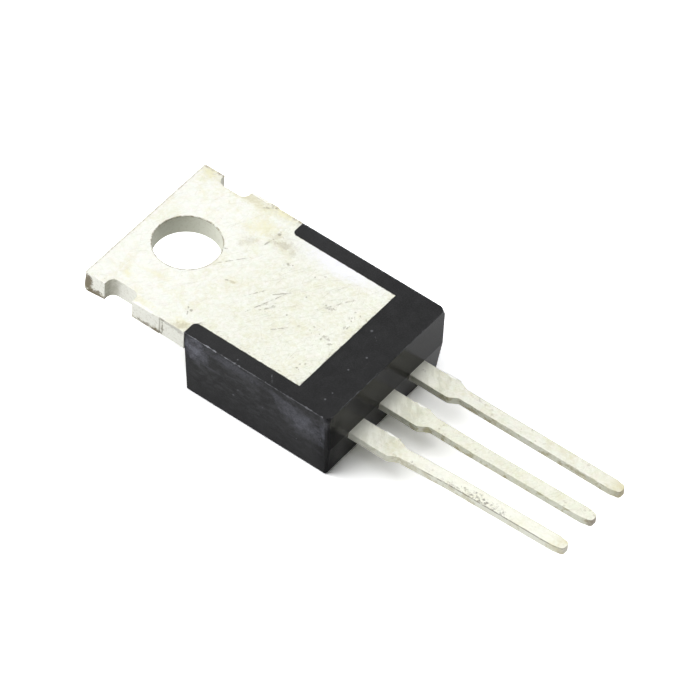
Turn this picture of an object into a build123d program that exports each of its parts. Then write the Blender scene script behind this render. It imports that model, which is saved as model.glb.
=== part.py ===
from build123d import *
import os
from math import atan2, degrees, radians, tan

# Negative voltage regulator in a three-lead power package, millimetres.
# The origin is the centre of the mounting hole, on the mounting face of the tab.
# +X runs out along the leads, +Z out of the mounting face and +Y towards the
# ground lead. The marked front of the plastic faces down.

# Heat-sink tab and the header that it becomes inside the plastic
tab_thickness = 1.27
tab_width = 9.83
tab_top_to_hole = 2.75
hole_diameter = 3.70
hole_to_body = 3.73
ear_length = 1.30
ear_flare = 0.14
notch_length = 1.82
notch_depth = 0.60
notch_radius = 0.40
stub_length = 1.78
stub_height = 0.05
stub_lip = 0.10
rolled_edge = 0.08
rolled_end_edge = 0.25
rolled_hole_edge = 0.10

# Mould locks on the header
pad_inset = 0.92
pad_corner_radius = 0.28
heel_length = 2.64
lock_ledge = 0.35
lock_depth = 0.55
groove_from_body = 0.95
groove_width = 0.40
groove_depth = 0.18

# Moulded body
body_length = 9.38
body_thickness = 4.50
side_draft = 3.1
back_draft = 2.0
front_draft = 6.2
tab_end_draft = 1.8
lead_end_corner = 0.12
worn_corner_radius = 0.40
worn_corner_depth = 0.30
tab_end_corner = 0.05
front_edge_radius = 0.10
ejector_diameter = 1.60
ejector_depth = 0.06

# Leads
lead_pitch = 2.54
lead_drop = 2.37
lead_thickness = 0.50
lead_length = 12.95
lead_width = 0.75
shoulder_width = 1.25
shoulder_length = 2.42
neck_length = 0.50
neck_radius = 0.30
dam_bar_start = 1.40
dam_bar_length = 0.92
dam_bar_burr = 0.08
lead_rolled_edge = 0.07
tip_length = 0.60
tip_width = 0.50
tip_radius = 0.20

# The thin ends are bent a little towards +Y: at the neck, at a bend past it and at the tip
side_bend_from_neck = 3.00
side_bend_radius = 12.0
ground_bend = (0.07, 0.09, 0.14)
input_bend = (0.12, 0.14, 0.27)
output_bend = (0.05, 0.25, 0.43)

# Lead ends inside the body
joggle_start = 0.30
joggle_angle = 48.0
joggle_radius = 0.30
post_gap = 0.15
post_length = 1.55
post_width = 2.30
post_corner_radius = 0.20
anchor_diameter = 0.60
anchor_inset = 0.50

# Die, its solder and the bond wires
die_length = 2.40
die_width = 2.00
die_thickness = 0.30
die_from_body = 3.30
solder_thickness = 0.05
solder_margin = 0.12
wire_diameter = 0.20
wire_sides = 10
foot_length = 0.42
foot_width = 0.26
foot_thickness = 0.10
loop_height = 0.45
bond_inset = 0.40
header_bond_gap = 0.85

# Levels and places that follow from the sizes above
ear_end = ear_length - tab_top_to_hole
notch_end = ear_end + notch_length
tab_front = -tab_thickness
lead_back = -lead_drop
lead_front = lead_back - lead_thickness
body_front = -body_thickness
body_start = hole_to_body
body_end = body_start + body_length
pad_half = tab_width / 2 - pad_inset
pad_end = body_end - heel_length
header_end = pad_end + lock_ledge
neck_start = body_end + shoulder_length
neck_end = neck_start + neck_length
side_bend_x = neck_end + side_bend_from_neck
tip_end = body_end + lead_length
tip_start = tip_end - tip_length
die_x = body_start + die_from_body
die_back = tab_front - solder_thickness
die_top = die_back - die_thickness


def slab(outline, top, bottom):
    return extrude(Plane.XY.offset(bottom) * outline, amount=top - bottom)


def block(x_from, x_to, y_from, y_to, z_from, z_to):
    centre = ((x_from + x_to) / 2, (y_from + y_to) / 2, (z_from + z_to) / 2)
    return Pos(*centre) * Box(x_to - x_from, y_to - y_from, z_to - z_from)


def corners_at(outline, x, y=None):
    # The outline's corners at this x, on both sides, or only those this far from its middle line
    return outline.vertices().filter_by(
        lambda corner: abs(corner.X - x) < 1e-4
        and (y is None or abs(abs(corner.Y) - y) < 1e-4)
    )


# --- Lead frame ---

def tab_outline():
    half = tab_width / 2
    waist = half - notch_depth
    side = [
        (-tab_top_to_hole, half),
        (ear_end, half),
        (ear_end, waist),
        (notch_end, waist),
        (notch_end, half),
        (body_start, half),
        (body_start, pad_half),
        (pad_end, pad_half),
    ]
    other_side = [(x, -y) for x, y in reversed(side)]
    outline = make_face(Polyline(*side, *other_side, close=True))
    outline = fillet(corners_at(outline, ear_end, waist), notch_radius)
    outline = fillet(corners_at(outline, notch_end, waist), notch_radius)
    return fillet(corners_at(outline, body_start, pad_half), pad_corner_radius)


def ears():
    # Cut from the strip last, the ears are pushed outwards at their front corners
    def section(level, flare):
        half = tab_width / 2
        return make_face(Polyline(
            (-tab_top_to_hole, -half - flare, level), (ear_end, -half, level),
            (ear_end, half, level), (-tab_top_to_hole, half + flare, level), close=True,
        ))

    return loft([section(0, 0), section(tab_front, ear_flare)], ruled=True)


def header():
    # The tab is stamped from the back, so the front edges outside the plastic are rolled over
    metal = slab(tab_outline(), 0, tab_front) + ears()
    end_edge = metal.edges().group_by(Axis.Z)[0].sort_by(Axis.X)[0]
    metal = fillet(end_edge, rolled_end_edge)

    def is_side_edge(edge):
        place = edge.center()
        at_front = place.Z < tab_front + 1e-3 and place.X < body_start - 1e-3
        at_corner = place.Z < -1e-3 and place.X < rolled_end_edge - tab_top_to_hole
        return abs(place.Y) > 1e-3 and (at_front or at_corner)

    metal = fillet(metal.edges().filter_by(is_side_edge), rolled_edge)
    metal -= Cylinder(hole_diameter / 2, 4 * tab_thickness)
    rim = metal.edges().filter_by(GeomType.CIRCLE).filter_by(
        lambda edge: abs(edge.radius - hole_diameter / 2) < 1e-4
    )
    metal = fillet(rim.sort_by(Axis.Z)[0], rolled_hole_edge)

    # Sheared remains of the bars that joined neighbouring tabs in the strip
    half = tab_width / 2
    stub = block(
        notch_end, notch_end + stub_length,
        half - 1.5 * rolled_edge, half + stub_height,
        tab_front + stub_lip, 0,
    )
    metal += [stub, mirror(stub, about=Plane.XZ)]

    # Coined ledge round the front half of the header, which the plastic grips
    metal += block(
        body_start, header_end,
        -pad_half - lock_ledge, pad_half + lock_ledge,
        tab_front, tab_front + lock_depth,
    )
    groove_x = body_start + groove_from_body
    groove = make_face(Polyline(
        (groove_x - groove_width / 2, tab_front),
        (groove_x + groove_width / 2, tab_front),
        (groove_x, tab_front + groove_depth),
        close=True,
    ))
    return metal - extrude(Plane.XZ * groove, amount=tab_width, both=True)


def lead_side(centre, sign, bend):
    # One edge of a lead, from its wide part to the tip
    neck_offset, bend_offset, tip_offset = bend
    narrow = sign * lead_width / 2
    bend_left = tip_length / (tip_end - side_bend_x)
    taper_offset = tip_offset + (bend_offset - tip_offset) * bend_left
    return [
        (neck_start, centre + sign * shoulder_width / 2),
        (neck_end, centre + neck_offset + narrow),
        (side_bend_x, centre + bend_offset + narrow),
        (tip_start, centre + taper_offset + narrow),
        (tip_end, centre + tip_offset + sign * tip_width / 2),
    ]


def lead_outline(inner_x, centre, bend):
    wide = shoulder_width / 2
    near = lead_side(centre, -1, bend)
    far = lead_side(centre, 1, bend)
    outline = make_face(Polyline(
        (inner_x, centre - wide), *near, *reversed(far), (inner_x, centre + wide), close=True,
    ))
    outline = fillet(corners_at(outline, neck_start), neck_radius)
    outline = fillet(corners_at(outline, neck_end), neck_radius)
    outline = fillet(corners_at(outline, side_bend_x), side_bend_radius)
    return fillet(corners_at(outline, tip_end), tip_radius)


def lead_strip(outline, centre, rolled_from):
    # Cut from the back, so the front edges are rolled; the dam bar's stump stands out on one side
    metal = slab(outline, lead_back, lead_front)
    front_edges = metal.edges().group_by(Axis.Z)[0].filter_by(
        lambda edge: edge.center().X > rolled_from + 1e-3
    )
    metal = fillet(front_edges, lead_rolled_edge)
    bar_start = body_end + dam_bar_start
    edge_y = centre + shoulder_width / 2
    return metal + block(
        bar_start, bar_start + dam_bar_length,
        edge_y - 2 * lead_rolled_edge, edge_y + dam_bar_burr,
        lead_front, lead_back,
    )


def side_lead(side, bend):
    # A flat lead that ends in a bond post, with an anchor hole that the plastic fills
    post_start = header_end + post_gap
    post_end = post_start + post_length
    centre = side * lead_pitch
    post = Pos((post_start + post_end) / 2, centre) * RectangleRounded(
        post_length, post_width, post_corner_radius
    )
    outline = lead_outline(post_end - anchor_inset, centre, bend) + post
    outline -= Pos(post_end - anchor_inset, centre) * Circle(anchor_diameter / 2)
    return lead_strip(outline, centre, post_end)


def centre_lead():
    # The strip leaves the front of the header, steps down and runs out as the middle lead
    step = lead_back - (tab_front + lead_thickness)
    step_start = header_end + joggle_start
    step_end = step_start + abs(step) / tan(radians(joggle_angle))
    mouth = body_end - lead_thickness / 2
    strip_level = tab_front + lead_thickness / 2
    lead_level = lead_back - lead_thickness / 2
    path = Plane.XZ * FilletPolyline(
        (header_end - lock_ledge, strip_level),
        (step_start, strip_level),
        (step_end, lead_level),
        (mouth, lead_level),
        radius=joggle_radius,
    )
    start = Plane(path @ 0, x_dir=(0, 1, 0), z_dir=path % 0)
    strip = sweep(start * Rectangle(shoulder_width, lead_thickness), path)
    return strip + lead_strip(lead_outline(mouth, 0, input_bend), 0, mouth)


# --- Die and wires ---

def die_parts():
    half_length = die_length / 2
    half_width = die_width / 2
    solder = block(
        die_x - half_length - solder_margin, die_x + half_length + solder_margin,
        -half_width - solder_margin, half_width + solder_margin,
        die_back, tab_front,
    )
    die = block(
        die_x - half_length, die_x + half_length,
        -half_width, half_width,
        die_top, die_back,
    )
    return die, solder


def bond_wire(start, end):
    # Both ends are pressed flat on the metal, and the loop rises towards the front of the body
    run = Vector(end.X - start.X, end.Y - start.Y, 0)
    along = run.normalized()
    loop_level = min(start.Z, end.Z) - loop_height
    rise = Vector(start.X, start.Y, loop_level) + along * (run.length * 0.25)
    fall = Vector(start.X, start.Y, loop_level) + along * (run.length * 0.80)
    lift = Vector(0, 0, -foot_thickness)
    path = FilletPolyline(start + lift, rise, fall, end + lift, radius=2 * wire_diameter)
    section = RegularPolygon(wire_diameter / 2, wire_sides)
    wire = sweep(Plane(path @ 0, z_dir=path % 0) * section, path)
    turn = degrees(atan2(run.Y, run.X))
    for point in (start, end):
        foot = Rot(0, 0, turn) * Box(foot_length, foot_width, foot_thickness)
        wire += Pos(point.X, point.Y, point.Z - foot_thickness / 2) * foot
    return wire


def wire_parts():
    post_x = header_end + post_gap + post_length / 2 - foot_length / 2
    die_end = die_x + die_length / 2
    die_side = die_width / 2
    ground = bond_wire(
        Vector(die_end - bond_inset, die_side - bond_inset, die_top),
        Vector(post_x, lead_pitch, lead_front),
    )
    output = bond_wire(
        Vector(die_end - bond_inset, bond_inset - die_side, die_top),
        Vector(post_x, -lead_pitch, lead_front),
    )
    input_wire = bond_wire(
        Vector(die_x - die_length / 2 + bond_inset, bond_inset - die_side, die_top),
        Vector(die_x - die_length / 2 + bond_inset, -die_side - header_bond_gap, tab_front),
    )
    return ground, output, input_wire


# --- Moulded body ---

def body_section(level):
    # The mould opens at the back of the leads, so the lead end is widest at that level
    half = tab_width / 2 + level * tan(radians(side_draft))
    below_tab = max(0, tab_front - level)
    start = body_start + below_tab * tan(radians(tab_end_draft))
    if level > lead_back:
        end = body_end - (level - lead_back) * tan(radians(back_draft))
    else:
        end = body_end - (lead_back - level) * tan(radians(front_draft))
    outline = make_face(Polyline(
        (start, -half), (end, -half), (end, half), (start, half), close=True,
    ))
    corner = worn_corner_radius if level == 0 else lead_end_corner
    return Plane.XY.offset(level) * fillet(corners_at(outline, end), corner)


def body_form():
    # The two corners over the leads are worn round at the top
    levels = (0, -worn_corner_depth, tab_front, lead_back, body_front)
    sections = [body_section(level) for level in levels]
    layers = [loft(pair, ruled=True) for pair in zip(sections, sections[1:])]
    return Part() + layers


def moulded_body(embedded):
    form = body_form()
    upright = form.edges().filter_by(
        lambda edge: edge.center().X < body_start + 0.5
        and edge.center().Z < tab_front
        and abs((edge @ 0).Z - (edge @ 1).Z) > tab_thickness / 2
    )
    form = fillet(upright, tab_end_corner)
    form = fillet(form.faces().sort_by(Axis.Z)[0].edges(), front_edge_radius)
    middle = (body_start + body_end) / 2
    form -= Pos(middle, 0, body_front) * Cylinder(ejector_diameter / 2, 2 * ejector_depth)
    for piece in embedded:
        form -= piece
    return form


die, solder = die_parts()
ground_wire, output_wire, input_wire = wire_parts()
pieces = {
    "heat_sink_tab": header() + centre_lead(),
    "ground_lead": side_lead(1, ground_bend),
    "output_lead": side_lead(-1, output_bend),
    "silicon_die": die,
    "die_attach_solder": solder,
    "bond_wire_ground": ground_wire,
    "bond_wire_output": output_wire,
    "bond_wire_input": input_wire,
}
pieces["moulded_body"] = moulded_body(pieces.values())

os.makedirs("parts", exist_ok=True)
for name, piece in pieces.items():
    print(name, len(piece.solids()), round(piece.volume, 3), piece.is_valid)
    export_step(piece, f"parts/{name}.step")
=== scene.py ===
import math

import bpy
from mathutils import Matrix, Vector


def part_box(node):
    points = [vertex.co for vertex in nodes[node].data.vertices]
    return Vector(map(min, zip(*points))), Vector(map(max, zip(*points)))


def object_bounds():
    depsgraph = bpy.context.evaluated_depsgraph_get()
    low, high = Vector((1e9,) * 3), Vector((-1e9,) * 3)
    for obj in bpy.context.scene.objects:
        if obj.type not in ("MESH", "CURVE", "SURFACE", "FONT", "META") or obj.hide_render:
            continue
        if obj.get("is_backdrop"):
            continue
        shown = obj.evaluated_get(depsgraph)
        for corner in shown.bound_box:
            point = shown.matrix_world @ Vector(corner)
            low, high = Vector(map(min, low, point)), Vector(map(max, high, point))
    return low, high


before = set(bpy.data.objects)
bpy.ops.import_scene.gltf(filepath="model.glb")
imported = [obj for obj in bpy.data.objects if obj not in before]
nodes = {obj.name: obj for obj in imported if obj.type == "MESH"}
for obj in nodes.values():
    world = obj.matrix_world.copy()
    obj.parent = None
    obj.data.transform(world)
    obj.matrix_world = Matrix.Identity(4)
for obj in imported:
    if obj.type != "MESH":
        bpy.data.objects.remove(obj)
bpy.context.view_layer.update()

# A negative voltage regulator in a tinned three-lead power package. It lies on the
# front of its plastic, with the mounting face of the tab up.
# The row's frame: origin in the mounting hole, +X along the leads, +Z out of the tab.

mm = 0.001
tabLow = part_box("heat_sink_tab")[0] / mm
bodyLow, bodyHigh = [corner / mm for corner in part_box("moulded_body")]
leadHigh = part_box("output_lead")[1] / mm
tabHalf, tabThickness, holeRadius = 4.915, 1.27, 1.85  # the hole's middle is the origin
notchStart, notchEnd, stubEnd = -1.45, 0.37, 2.15
padHalf = tabHalf - 0.92  # bare metal between the strips of plastic
padEnd = bodyHigh.x - 2.64
leadPitch, leadLength = 2.54, leadHigh.x - bodyHigh.x
damBar = 1.72  # from the plastic to the torn end of the dam bar
sidePlane, endPlane = 31.0, 57.0  # shifts that keep the painting of sides and ends apart
print("frame loaded:", ", ".join(sorted(nodes)))


# Small helpers for building node trees


def shade(red, green, blue):
    # a colour as a picture shows it, 0 to 255, turned into the linear value of a socket
    def linear(v):
        v = v / 255
        return v / 12.92 if v <= 0.04045 else ((v + 0.055) / 1.055) ** 2.4

    return (linear(red), linear(green), linear(blue), 1.0)


def plug(tree, value, socket):
    if isinstance(value, bpy.types.NodeSocket):
        tree.links.new(value, socket)
    else:
        socket.default_value = value


def addNode(tree, kind, inputs=None, **settings):
    node = tree.nodes.new("ShaderNode" + kind)
    for name, value in settings.items():
        setattr(node, name, value)
    for name, value in (inputs or {}).items():
        plug(tree, value, node.inputs[name])
    return node


def calc(tree, operation, *values, clamp=False):
    node = addNode(tree, "Math", operation=operation, use_clamp=clamp)
    for value, socket in zip(values, node.inputs):
        plug(tree, value, socket)
    return node.outputs[0]


def minus(tree, first, second):
    return calc(tree, "SUBTRACT", first, second)


def vectorCalc(tree, operation, *values, out="Vector"):
    node = addNode(tree, "VectorMath", operation=operation)
    for value, socket in zip(values, node.inputs):
        plug(tree, value, socket)
    return node.outputs[out]


def split(tree, vector):
    return addNode(tree, "SeparateXYZ", {"Vector": vector}).outputs


def join(tree, x, y, z=0.0):
    return addNode(tree, "CombineXYZ", {"X": x, "Y": y, "Z": z}).outputs[0]


def turnedBack(tree, vector, angle):
    return addNode(tree, "VectorRotate", {"Vector": vector, "Angle": product(
        tree, angle, -1.0)}, rotation_type="Z_AXIS").outputs[0]


def length(tree, vector):
    return vectorCalc(tree, "LENGTH", vector, out="Value")


def scaled(tree, vector, factor):
    node = addNode(tree, "VectorMath", {"Vector": vector, "Scale": factor}, operation="SCALE")
    return node.outputs["Vector"]


def ramp(tree, value, low, high, toLow=0.0, toHigh=1.0):
    names = ("Value", "From Min", "From Max", "To Min", "To Max")
    node = addNode(tree, "MapRange", dict(zip(names, (value, low, high, toLow, toHigh))),
                   interpolation_type="SMOOTHSTEP")
    return node.outputs["Result"]


def mixColor(tree, factor, first, second, kind="MIX"):
    node = addNode(tree, "Mix", data_type="RGBA", blend_type=kind)
    for value, index in ((factor, 0), (first, 6), (second, 7)):
        plug(tree, value, node.inputs[index])
    return node.outputs[2]


def mixValue(tree, factor, first, second):
    node = addNode(tree, "Mix", data_type="FLOAT")
    for value, index in ((factor, 0), (first, 2), (second, 3)):
        plug(tree, value, node.inputs[index])
    return node.outputs[0]


def strongest(tree, *masks):
    result = masks[0]
    for mask in masks[1:]:
        result = calc(tree, "MAXIMUM", result, mask)
    return result


def product(tree, *masks):
    result = masks[0]
    for mask in masks[1:]:
        result = calc(tree, "MULTIPLY", result, mask)
    return result


def noise(tree, vector, scale, detail=2.0, roughness=0.5, distortion=0.0):
    values = {"Vector": vector, "Scale": scale, "Detail": detail,
              "Roughness": roughness, "Distortion": distortion}
    return addNode(tree, "TexNoise", values, noise_dimensions="3D").outputs["Fac"]


def newGroup(name, inputs, outputs):
    tree = bpy.data.node_groups.new(name, "ShaderNodeTree")
    for socketName, value in inputs.items():
        kind = "Float" if isinstance(value, float) else "Color" if len(value) == 4 else "Vector"
        socket = tree.interface.new_socket(socketName, in_out="INPUT",
                                           socket_type="NodeSocket" + kind)
        socket.default_value = value
    for socketName, kind in outputs.items():
        tree.interface.new_socket(socketName, in_out="OUTPUT",
                                  socket_type="NodeSocket" + kind)
    return tree, tree.nodes.new("NodeGroupInput").outputs, tree.nodes.new("NodeGroupOutput").inputs


def useGroup(tree, group, values=None):
    node = tree.nodes.new("ShaderNodeGroup")
    node.node_tree = group
    for name, value in (values or {}).items():
        plug(tree, value, node.inputs[name])
    return node.outputs


# Node groups that several finishes share


def buildFaceCoordinates():
    # millimetres on the object, and the same flattened onto the side that a face looks to
    tree, _, ends = newGroup("face coordinates", {}, {
        "Position": "Vector", "Plane": "Vector", "Facing Up": "Float", "Normal": "Vector"})
    place = scaled(tree, addNode(tree, "TexCoord").outputs["Object"], 1 / mm)
    normal = addNode(tree, "NewGeometry").outputs["True Normal"]
    x, y, z = split(tree, place)
    facing = split(tree, vectorCalc(tree, "ABSOLUTE", normal))
    flat = join(tree, x, y)
    side = join(tree, x, calc(tree, "ADD", z, sidePlane))
    end = join(tree, y, calc(tree, "ADD", z, endPlane))
    isEnd = calc(tree, "GREATER_THAN", facing["X"], facing["Y"])
    isFlat = calc(tree, "GREATER_THAN", facing["Z"], 0.6)

    def mixVector(factor, first, second):
        node = addNode(tree, "Mix", data_type="VECTOR")
        for value, index in ((factor, 0), (first, 4), (second, 5)):
            plug(tree, value, node.inputs[index])
        return node.outputs[1]

    plug(tree, place, ends["Position"])
    plug(tree, mixVector(isFlat, mixVector(isEnd, side, end), flat), ends["Plane"])
    plug(tree, split(tree, normal)["Z"], ends["Facing Up"])
    plug(tree, normal, ends["Normal"])
    return tree


def keepPainted(tree, starts, ends, mask):
    # a canvas holds the place in X and Y, and in Z what is painted so far, so the marks of a
    # finish are worked out one after another
    x, y, painted = split(tree, starts["Canvas"])
    plug(tree, join(tree, x, y, strongest(tree, painted, mask)), ends["Canvas"])


def buildBlot():
    # paints a soft patch with a ragged border
    tree, starts, ends = newGroup("blot", {
        "Canvas": (0.0, 0.0, 0.0), "Rough": 0.5, "Centre": (0.0, 0.0, 0.0),
        "Radii": (1.0, 1.0, 1.0), "Turn": 0.0, "Ragged": 0.8, "Core": 0.2, "Strength": 1.0},
        {"Canvas": "Vector"})
    place = vectorCalc(tree, "MULTIPLY", starts["Canvas"], (1.0, 1.0, 0.0))
    turned = turnedBack(tree, vectorCalc(tree, "SUBTRACT", place, starts["Centre"]), starts["Turn"])
    reach = length(tree, vectorCalc(tree, "DIVIDE", turned, starts["Radii"]))
    reach = calc(tree, "MULTIPLY_ADD", minus(tree, starts["Rough"], 0.5), starts["Ragged"], reach)
    mask = product(tree, ramp(tree, reach, 1.0, starts["Core"]), starts["Strength"])
    keepPainted(tree, starts, ends, mask)
    return tree


def buildStroke():
    # paints one mark from a start to an end, thinner and ragged towards its ends
    tree, starts, ends = newGroup("stroke", {
        "Canvas": (0.0, 0.0, 0.0), "Rough": 0.5, "Start": (0.0, 0.0, 0.0),
        "End": (1.0, 0.0, 0.0), "Width": 0.06}, {"Canvas": "Vector"})
    place = vectorCalc(tree, "MULTIPLY", starts["Canvas"], (1.0, 1.0, 0.0))
    shift = product(tree, minus(tree, starts["Rough"], 0.5), starts["Width"])
    away = vectorCalc(tree, "ADD", scaled(tree, (1.0, -1.0, 0.0), shift), vectorCalc(
        tree, "SUBTRACT", place, starts["Start"]))
    run = vectorCalc(tree, "SUBTRACT", starts["End"], starts["Start"])
    share = calc(tree, "DIVIDE", vectorCalc(tree, "DOT_PRODUCT", away, run, out="Value"),
                 vectorCalc(tree, "DOT_PRODUCT", run, run, out="Value"), clamp=True)
    gap = length(tree, vectorCalc(tree, "SUBTRACT", away, scaled(tree, run, share)))
    middle = calc(tree, "ABSOLUTE", calc(tree, "MULTIPLY_ADD", share, 2.0, -1.0))
    width = product(tree, starts["Width"], ramp(tree, middle, 0.3, 1.0, 1.0, 0.45),
                    ramp(tree, starts["Rough"], 0.4, 0.64, 0.7, 1.9))
    mask = product(tree, ramp(tree, gap, width, product(tree, width, 0.2)),
                   ramp(tree, starts["Rough"], 0.4, 0.56, 0.12, 1.0))
    keepPainted(tree, starts, ends, mask)
    return tree


def buildRubbedEdge():
    # a worn line along an edge, from the distance to it: thin, broken and beaded
    tree, starts, ends = newGroup("rubbed edge", {
        "Position": (0.0, 0.0, 0.0), "Distance": 0.0, "Width": 0.04, "Beads": 0.07,
        "Gaps": 0.4}, {"Mask": "Float"})
    place = starts["Position"]
    thick = ramp(tree, noise(tree, place, 2.1, 3.0, 0.6), 0.34, 0.64, 0.35, 1.4)
    bead = ramp(tree, noise(tree, place, 5.2, 2.0, 0.5), 0.54, 0.68)
    width = calc(tree, "MULTIPLY_ADD", starts["Width"], thick, product(
        tree, starts["Beads"], bead))
    line = ramp(tree, starts["Distance"], width, product(tree, width, 0.25))
    broken = ramp(tree, noise(tree, place, 1.5, 4.0, 0.65), minus(
        tree, starts["Gaps"], 0.12), calc(tree, "ADD", starts["Gaps"], 0.08), 0.15, 1.0)
    plug(tree, product(tree, line, broken), ends["Mask"])
    return tree


def buildScratches():
    # straight hairlines, one in some of the cells, turned about a main direction
    tree, starts, ends = newGroup("scratches", {
        "Plane": (0.0, 0.0, 0.0), "Cell": 1.0, "Angle": 0.0, "Spread": 0.6,
        "Width": 0.03, "Chance": 0.4, "Seed": 0.0}, {"Mask": "Float"})
    shift = join(tree, starts["Seed"], product(tree, starts["Seed"], 1.7))
    place = vectorCalc(tree, "ADD", starts["Plane"], shift)
    cells = addNode(tree, "TexVoronoi", {"Vector": place, "Scale": calc(
        tree, "DIVIDE", 1.0, starts["Cell"])}, voronoi_dimensions="2D")
    dice = addNode(tree, "SeparateColor", {"Color": cells.outputs["Color"]}).outputs
    away = vectorCalc(tree, "SUBTRACT", place, cells.outputs["Position"])
    turn = calc(tree, "MULTIPLY_ADD", minus(tree, dice["Green"], 0.5),
                starts["Spread"], starts["Angle"])
    along, across, _ = split(tree, turnedBack(tree, away, turn))
    reach = product(tree, starts["Cell"], 0.75)
    fade = ramp(tree, calc(tree, "ABSOLUTE", along), reach, product(tree, reach, 0.4))
    bow = product(tree, along, along, minus(tree, dice["Red"], 0.5), 0.12)
    line = ramp(tree, calc(tree, "ABSOLUTE", calc(tree, "ADD", across, bow)), starts["Width"], 0.0)
    lucky = calc(tree, "LESS_THAN", dice["Blue"], starts["Chance"])
    plug(tree, product(tree, fade, line, lucky), ends["Mask"])
    return tree


def buildSpecks():
    # round grains or pits, one in some of the cells
    tree, starts, ends = newGroup("specks", {
        "Position": (0.0, 0.0, 0.0), "Cell": 0.5, "Radius": 0.08, "Chance": 0.3}, {"Mask": "Float"})
    wobble = addNode(tree, "TexNoise", {"Vector": starts["Position"], "Scale": 7.0, "Detail": 1.0})
    place = vectorCalc(tree, "ADD", starts["Position"], scaled(
        tree, vectorCalc(tree, "SUBTRACT", wobble.outputs["Color"], (0.5, 0.5, 0.5)), product(
            tree, starts["Radius"], 1.6)))
    cells = addNode(tree, "TexVoronoi", {"Vector": place, "Scale": calc(
        tree, "DIVIDE", 1.0, starts["Cell"])}, voronoi_dimensions="3D")
    dice = addNode(tree, "SeparateColor", {"Color": cells.outputs["Color"]}).outputs
    away = product(tree, cells.outputs["Distance"], starts["Cell"])
    size = product(tree, starts["Radius"], ramp(tree, dice["Red"], 0.0, 1.0, 0.35, 1.0))
    dot = ramp(tree, away, size, product(tree, size, 0.45))
    plug(tree, product(tree, dot, calc(
        tree, "LESS_THAN", dice["Blue"], starts["Chance"])), ends["Mask"])
    return tree


def buildEdgeWear():
    # a mask along sharp edges, broken up, and the normal that rounds them
    tree, starts, ends = newGroup("edge wear", {
        "Position": (0.0, 0.0, 0.0), "Radius": 0.05, "Breakup": 0.5, "Scale": 3.0},
        {"Mask": "Float", "Normal": "Vector"})
    rounded = addNode(tree, "Bevel", {"Radius": product(tree, starts["Radius"], mm)},
                      samples=6).outputs["Normal"]
    flat = addNode(tree, "NewGeometry").outputs["Normal"]
    bend = vectorCalc(tree, "DOT_PRODUCT", rounded, flat, out="Value")
    edge = ramp(tree, bend, 0.985, 0.86)
    grain = ramp(tree, noise(tree, starts["Position"], starts["Scale"], 4.0, 0.6), 0.36, 0.62)
    plug(tree, product(tree, edge, mixValue(tree, starts["Breakup"], 1.0, grain)),
         ends["Mask"])
    plug(tree, rounded, ends["Normal"])
    return tree


faceCoordinates = buildFaceCoordinates()
blot = buildBlot()
rubbedEdge = buildRubbedEdge()
scratches = buildScratches()
specks = buildSpecks()
stroke = buildStroke()
edgeWear = buildEdgeWear()


def wearEdges(tree, place, radius, breakup, scale):
    return useGroup(tree, edgeWear, {"Position": place, "Radius": radius, "Breakup": breakup,
                                     "Scale": scale})


def paintBlots(tree, canvas, rough, blots, ragged=0.8, core=0.2):
    for centre, radii, turn, strength in blots:
        canvas = useGroup(tree, blot, {
            "Canvas": canvas, "Rough": rough, "Centre": (*centre, 0.0), "Radii": (*radii, 1.0),
            "Turn": turn, "Ragged": ragged, "Core": core, "Strength": strength})["Canvas"]
    return canvas


def paintDots(tree, canvas, rough, dots):
    blots = [((x, y), (radius, radius), 0.0, 1.0) for x, y, radius in dots]
    return paintBlots(tree, canvas, rough, blots, 0.6, 0.4)


def paintStrokes(tree, canvas, rough, strokes):
    for start, end, width in strokes:
        canvas = useGroup(tree, stroke, {
            "Canvas": canvas, "Rough": rough, "Start": (*start, 0.0), "End": (*end, 0.0),
            "Width": width})["Canvas"]
    return canvas


def takePainted(tree, canvas):
    # the painted mask, and the canvas wiped clean
    x, y, painted = split(tree, canvas)
    return painted, join(tree, x, y)


def tint(tree, color, mask, strength, target):
    return mixColor(tree, product(tree, mask, strength), color, shade(*target))


def grains(tree, place, cell, radius, chance):
    return useGroup(tree, specks, {"Position": place, "Cell": cell, "Radius": radius,
                                   "Chance": chance})["Mask"]


def steepness(tree, coords):
    # 1 on the faces that look sideways
    return ramp(tree, calc(tree, "ABSOLUTE", coords["Facing Up"]), 0.8, 0.55)


hairlineFamilies = {
    # cell, turn, spread, width, chance and seed
    "fine": [(1.0, 0.0, 0.5, 0.022, 0.6, 3.1), (0.7, 0.1, 1.0, 0.020, 0.55, 11.7),
             (1.5, -0.15, 0.4, 0.024, 0.5, 23.9), (0.45, 0.2, 1.6, 0.018, 0.5, 41.3)],
    "cross": [(1.1, 1.3, 1.6, 0.022, 0.4, 37.3), (0.6, -1.0, 2.5, 0.020, 0.35, 51.1)],
    "pale": [(0.8, 0.25, 1.2, 0.022, 0.5, 67.0)],
}


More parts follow.
